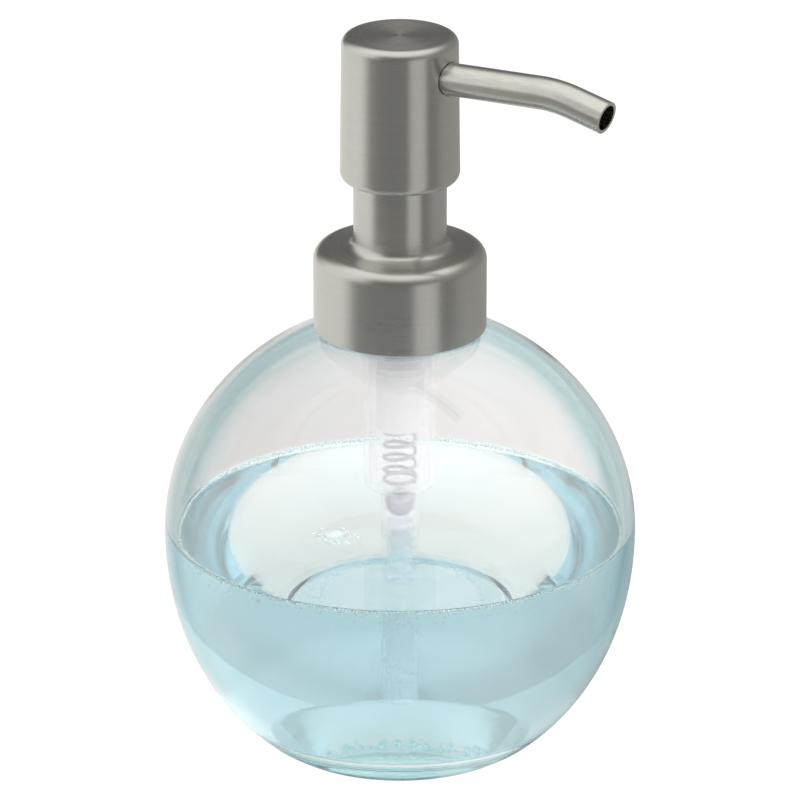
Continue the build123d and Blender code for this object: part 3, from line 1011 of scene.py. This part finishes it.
@dataclass
class PumpWorks:
    """What shows of the pump inside the bottle: cylinder, spring, ball and dip tube."""

    wire: float = 0.4 * MM
    turns: float = 10.0
    stroke: float = 12.0 * MM

    def build_spring(self) -> bpy.types.Object:
        """Build the coil spring with its closed end turns.

        Returns:
            The spring.
        """
        low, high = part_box("return_spring")
        radius = (high.y - low.y) / 2 - self.wire
        bottom, top = low.z + self.wire, high.z - self.wire
        steps_per_turn = 40
        count = int(self.turns * steps_per_turn)
        path = []
        for step in range(count + 1):
            turn = step / steps_per_turn
            inner = min(max((turn - 0.9) / (self.turns - 1.8), 0.0), 1.0)
            end_rise = 0.5 * self.wire
            height = bottom + end_rise * min(turn, 0.9) / 0.9
            height += (top - bottom - 2 * end_rise) * inner
            height += end_rise * max(0.0, turn - (self.turns - 0.9)) / 0.9
            angle = 2 * math.pi * turn
            path.append(Vector((radius * math.cos(angle), radius * math.sin(angle), height)))
        body, rings = swept(path, circle(self.wire, 12))
        body.faces.new(rings[0])
        body.faces.new(list(reversed(rings[-1])))
        spring = finished("return_spring_coil", body, 60.0)
        dress(spring, BrightMetal("spring_wire", (0.36, 0.41, 0.48), 0.25).material())
        settle(spring, Body.INSERT, Slot.SPRING, "return_spring")
        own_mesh(spring)
        return spring

    def dress_nodes(self) -> None:
        """Give the inner CAD pieces their plastics, rubbers and metals."""
        milky = MilkyPlastic().material()
        clear = MilkyPlastic("half_clear_plastic", cover=0.14).material()
        cup = MilkyPlastic("cup_plastic", (0.86, 0.87, 0.89), cover=0.78).material()
        tube = MilkyPlastic("tube_plastic", (0.86, 0.87, 0.92), cover=0.27).material()
        white = MouldedPlastic("white_plastic", (0.86, 0.87, 0.86)).material()
        rubber = MouldedPlastic("seal_rubber", (0.03, 0.03, 0.032), 0.6).material()
        foam = MouldedPlastic("gasket_foam", (0.85, 0.86, 0.85), 0.7).material()
        ball = BrightMetal("ball_steel", (0.36, 0.41, 0.48), 0.12).material()
        finishes = {
            "pump_cylinder": milky, "dip_tube": tube, "piston": clear, "poppet": cup, "stem": cup,
            "stem_guide": cup, "ball_retainer": clear, "screw_cap": white, "actuator_core": white,
            "stem_wiper": rubber, "spout_seal_ring": rubber, "bottle_gasket": foam, "suction_ball": ball,
        }
        for node, material in finishes.items():
            dress(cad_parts[node], material)


@dataclass
class SteelPump:
    """The steel that shows: head, neck tube with its collar, and spout."""

    def dress_nodes(self) -> None:
        """Give the steel shells and the spout their brushing."""
        steel = TurnedSteel().material()
        for node in ("head_shell", "collar_shell"):
            dress(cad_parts[node], steel)
        dress(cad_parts["spout"], TubeSteel().material())


# ---------------------------------------------------------------------------------------------
# Studio


@dataclass(frozen=True)
class Lamp:
    """A soft light on the tent's wall, in degrees: its middle, how far it is full, and how far it reaches."""

    turn: float
    full: float
    end: float
    level: float


@dataclass
class Studio:
    """Pale floor, soft light and camera."""

    camera_turn: float = math.radians(33.0)
    camera_distance: float = 1.1332
    camera_height: float = 0.535
    aim_height: float = 0.0772
    lens: float = 255.72
    ground_half: float = 12.0
    tent_radius: float = 3.0
    tent_height: float = 4.0
    room_low: float = 0.24
    room_high: float = 0.16
    low_lamps: tuple[Lamp, ...] = (Lamp(-125, 40, 70, 0.65), Lamp(35, 8, 22, 0.40), Lamp(125, 25, 60, 0.15))
    high_lamps: tuple[Lamp, ...] = (Lamp(-90, 20, 60, 0.80), Lamp(95, 35, 90, 0.15))
    zenith: float = 1.15
    horizon_light: Colour = (1.30, 1.33, 1.32)
    low_lights: tuple[tuple[float, Colour], ...] = ((0.2, (1.42, 1.40, 1.36)), (0.36, (2.15, 1.85, 1.74)))
    zenith_light: Colour = (1.70, 1.72, 1.74)
    front_light: float = 0.20
    right_light: float = 0.24
    glow_middle: Colour = (1.12, 1.02, 0.94)
    glow_pale: Colour = (1.28, 1.07, 0.94)
    glow_ring: Colour = (1.34, 1.32, 1.28)
    glow_far: Colour = (0.87, 0.85, 0.83)

    def build_camera(self) -> None:
        """Place the camera and make it the scene's own."""
        data = bpy.data.cameras.new("camera")
        data.lens = self.lens
        data.sensor_width = 36.0
        data.clip_end = 20.0
        camera = bpy.data.objects.new("camera", data)
        bpy.context.scene.collection.objects.link(camera)
        spot = Vector((math.sin(self.camera_turn), -math.cos(self.camera_turn), 0)) * self.camera_distance
        camera.location = spot + Vector((0, 0, self.camera_height))
        aim = Vector((0, 0, self.aim_height))
        camera.rotation_mode = "QUATERNION"
        camera.rotation_quaternion = (aim - camera.location).to_track_quat("-Z", "Y")
        bpy.context.scene.camera = camera

    def ground(self, name: str, height: float) -> bpy.types.Object:
        """Return a wide flat sheet at the given height."""
        body, half = bmesh.new(), self.ground_half
        corners = [(-half, -half), (half, -half), (half, half), (-half, half)]
        body.faces.new([body.verts.new((x, y, height)) for x, y in corners])
        return finished(name, body)

    def build_floor(self) -> None:
        """Lay the white floor, which glows a little like a light table."""
        floor = self.ground("studio_floor", 0.0)
        shader = Shader("floor_white")
        shader.set(Base_Color=(0.06, 0.06, 0.06, 1), Roughness=0.9, Specular_IOR_Level=0.0,
                   Emission_Color=(1, 1, 1, 1), Emission_Strength=0.965)
        shader.material.cycles.emission_sampling = "NONE"
        dress(floor, shader.material)
        floor.visible_glossy = False
        floor.visible_transmission = False

    def build_glow(self) -> None:
        """Lay the lit ground that shows through the glass, brightest under the bottle."""
        glow = self.ground("studio_glow", -0.5 * MM)
        shader = Shader("ground_glow")
        split = shader.add("SeparateXYZ")
        shader.join(shader.place(), split.inputs[0])
        x, y, _ = split.outputs
        reach = shader.radius()
        middle = shader.blend(shader.step(reach, 0.018, 0.03), (*self.glow_middle, 1), (*self.glow_pale, 1))
        middle = shader.blend(shader.step(reach, 0.045, 0.08), middle, (*self.glow_ring, 1))
        light = shader.blend(shader.step(reach, 0.08, 0.155), middle, (*self.glow_far, 1))
        right = shader.math("ADD", shader.math("MULTIPLY", x, math.cos(self.camera_turn)),
                            shader.math("MULTIPLY", y, math.sin(self.camera_turn)))
        tilt = shader.add("MapRange")
        shader.join(right, tilt.inputs["Value"])
        tilt.inputs["From Min"].default_value, tilt.inputs["From Max"].default_value = -0.05, 0.05
        tilt.inputs["To Min"].default_value, tilt.inputs["To Max"].default_value = 0.87, 1.12
        shader.set(Base_Color=(0, 0, 0, 1), Specular_IOR_Level=0.0)
        shader.join(light, shader.main.inputs["Emission Color"])
        shader.join(tilt.outputs["Result"], shader.main.inputs["Emission Strength"])
        shader.material.cycles.emission_sampling = "NONE"
        dress(glow, shader.material)
        glow.visible_camera = False
        glow.visible_glossy = False
        glow.visible_diffuse = False

    @staticmethod
    def tone(level: float) -> tuple[float, float, float, float]:
        """Return a slightly warm light of the given level."""
        return (level, level * 0.99, level * 0.95, 1)

    def lamp_row(self, shader: Shader, room: float, lamps: Sequence[Lamp]) -> bpy.types.NodeSocket:
        """Add up the soft lamps of one row on the tent's wall.

        Args:
            shader: The material that they go in.
            room: The level between the lamps.
            lamps: The lamps.

        Returns:
            The row's light level.
        """
        split = shader.add("SeparateXYZ")
        shader.join(shader.place(), split.inputs[0])
        x, y, _ = split.outputs
        reach = shader.radius()
        total = None
        for lamp in lamps:
            turn = math.radians(lamp.turn)
            toward = shader.math("ADD", shader.math("MULTIPLY", x, math.sin(turn)),
                                 shader.math("MULTIPLY", y, -math.cos(turn)))
            nearness = shader.math("DIVIDE", toward, reach)
            share = shader.step(nearness, math.cos(math.radians(lamp.end)), math.cos(math.radians(lamp.full)))
            before = room if total is None else total
            total = shader.math("ADD", shader.math("MULTIPLY", share, lamp.level), before)
        return total

    def build_tent(self) -> None:
        """Hang the light tent: soft lamps low and high, and a bright ceiling, which show in the steel."""
        outline = [(0.0, -0.002), (self.tent_radius, -0.002), (self.tent_radius, self.tent_height),
                   (0.0, self.tent_height)]
        tent = turned("studio_tent", outline, segments=64, closed=False)
        tent.rotation_euler = (0, 0, self.camera_turn)
        shader = Shader("tent_lamps")
        split = shader.add("SeparateXYZ")
        shader.join(shader.place(), split.inputs[0])
        slope = shader.math("DIVIDE", split.outputs[2], shader.radius())
        rows = []
        for level, lamps in ((self.room_low, self.low_lamps), (self.room_high, self.high_lamps)):
            tint = shader.add("Mix", data_type="RGBA", blend_type="MULTIPLY")
            tint.inputs[0].default_value = 1.0
            shader.join(self.lamp_row(shader, level, lamps), tint.inputs[6])
            tint.inputs[7].default_value = self.tone(1.0)
            rows.append(tint.outputs[2])
        wall = shader.blend(shader.step(slope, 0.0, 0.14), rows[0], rows[1])
        room = shader.blend(shader.step(slope, 0.62, 1.6), wall, self.tone(self.zenith))
        shader.set(Base_Color=(0, 0, 0, 1), Specular_IOR_Level=0.0, Emission_Strength=1.0)
        shader.join(room, shader.main.inputs["Emission Color"])
        shader.material.cycles.emission_sampling = "NONE"
        dress(tent, shader.material)
        tent.visible_camera = False
        tent.visible_transmission = False
        tent.visible_diffuse = False
        tent.visible_shadow = False

    def build_world(self) -> None:
        """Fill the room with soft pale light, brighter overhead, from the front and from the right."""
        world = bpy.data.worlds.new("studio")
        world.use_nodes = True
        nodes, links = world.node_tree.nodes, world.node_tree.links
        split = nodes.new("ShaderNodeSeparateXYZ")
        place = nodes.new("ShaderNodeTexCoord").outputs["Generated"]
        links.new(place, split.inputs[0])
        ramp = nodes.new("ShaderNodeValToRGB")
        links.new(split.outputs[2], ramp.inputs["Fac"])
        elements = ramp.color_ramp.elements
        elements[0].color, elements[1].color = (*self.horizon_light, 1), (*self.zenith_light, 1)
        elements[1].position = 0.8
        for height, light in self.low_lights:
            elements.new(height).color = (*light, 1)
        facing = nodes.new("ShaderNodeVectorMath")
        facing.operation = "DOT_PRODUCT"
        links.new(place, facing.inputs[0])
        sine, cosine = math.sin(self.camera_turn), math.cos(self.camera_turn)
        facing.inputs[1].default_value = (
            self.front_light * sine + self.right_light * cosine,
            self.right_light * sine - self.front_light * cosine,
            0,
        )
        strength = nodes.new("ShaderNodeMath")
        links.new(facing.outputs["Value"], strength.inputs[0])
        strength.inputs[1].default_value = 1.0
        background = nodes["Background"]
        links.new(ramp.outputs["Color"], background.inputs["Color"])
        links.new(strength.outputs[0], background.inputs["Strength"])
        world.cycles_visibility.glossy = False
        bpy.context.scene.world = world

    def set_tone(self) -> None:
        """Show colours as they are, and let light pass through all the glass."""
        scene = bpy.context.scene
        scene.view_settings.view_transform = "Standard"
        scene.view_settings.look = "None"
        scene.cycles.max_bounces = 40
        scene.cycles.transmission_bounces = 40
        scene.cycles.glossy_bounces = 12
        scene.cycles.transparent_max_bounces = 24
        scene.cycles.blur_glossy = 0.0


def main() -> None:
    """Build every piece and the studio, in order, and report each."""
    logging.basicConfig(level=logging.INFO, format="%(message)s")
    random.seed(SEED)
    studio = Studio()
    studio.set_tone()
    studio.build_camera()
    bottle = GlassBottle()
    LOG.info("glass: %s", bottle.build_glass().name)
    LOG.info("soap: %s", bottle.build_soap().name)
    LOG.info("froth: %s", bottle.build_froth().name)
    LOG.info("bubbles: %s", ", ".join(thing.name for thing in bottle.build_bubbles()))
    works = PumpWorks()
    works.dress_nodes()
    LOG.info("spring: %s", works.build_spring().name)
    SteelPump().dress_nodes()
    studio.build_floor()
    studio.build_glow()
    studio.build_tent()
    studio.build_world()


if __name__ == "__main__":
    main()
